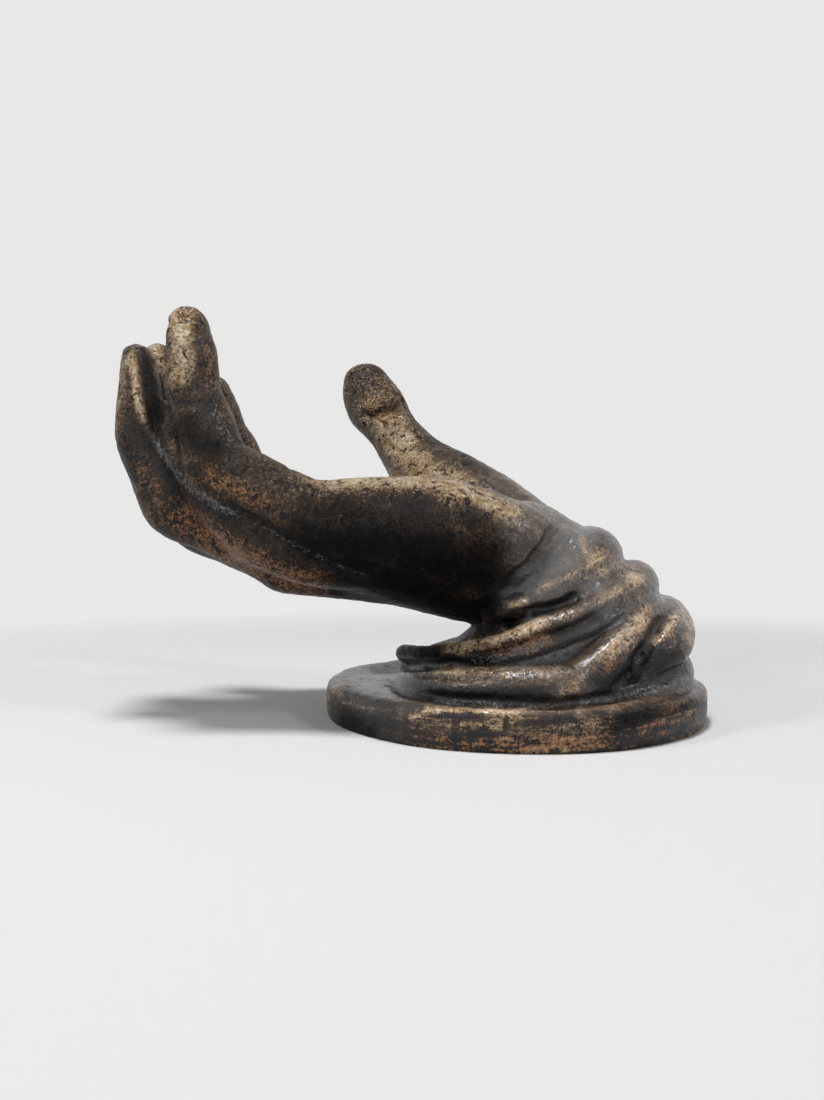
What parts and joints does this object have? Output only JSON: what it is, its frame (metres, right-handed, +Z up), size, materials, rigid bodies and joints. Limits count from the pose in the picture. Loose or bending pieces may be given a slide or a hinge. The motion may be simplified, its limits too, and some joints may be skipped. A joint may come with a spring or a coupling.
{
  "type": "hand sculpture candle holder",
  "caption": "Open right hand, palm up with fingers raised round a hollow for a candle, rising from folded cloth on a round base.",
  "frame": {"origin": "centre of the round base's underside", "axes": "+Z up from the surface it rests on, -X towards the fingertips, +Y towards the thumb"},
  "size_m": [0.184, 0.1251, 0.1257],
  "materials": {
    "patinated_bronze": "sand-cast bronze with a dark brown patina, tan and copper where the high points are worn, semi-gloss"
  },
  "bodies": {
    "root": {"hand_sculpture": "patinated_bronze"}
  },
  "joints": []
}
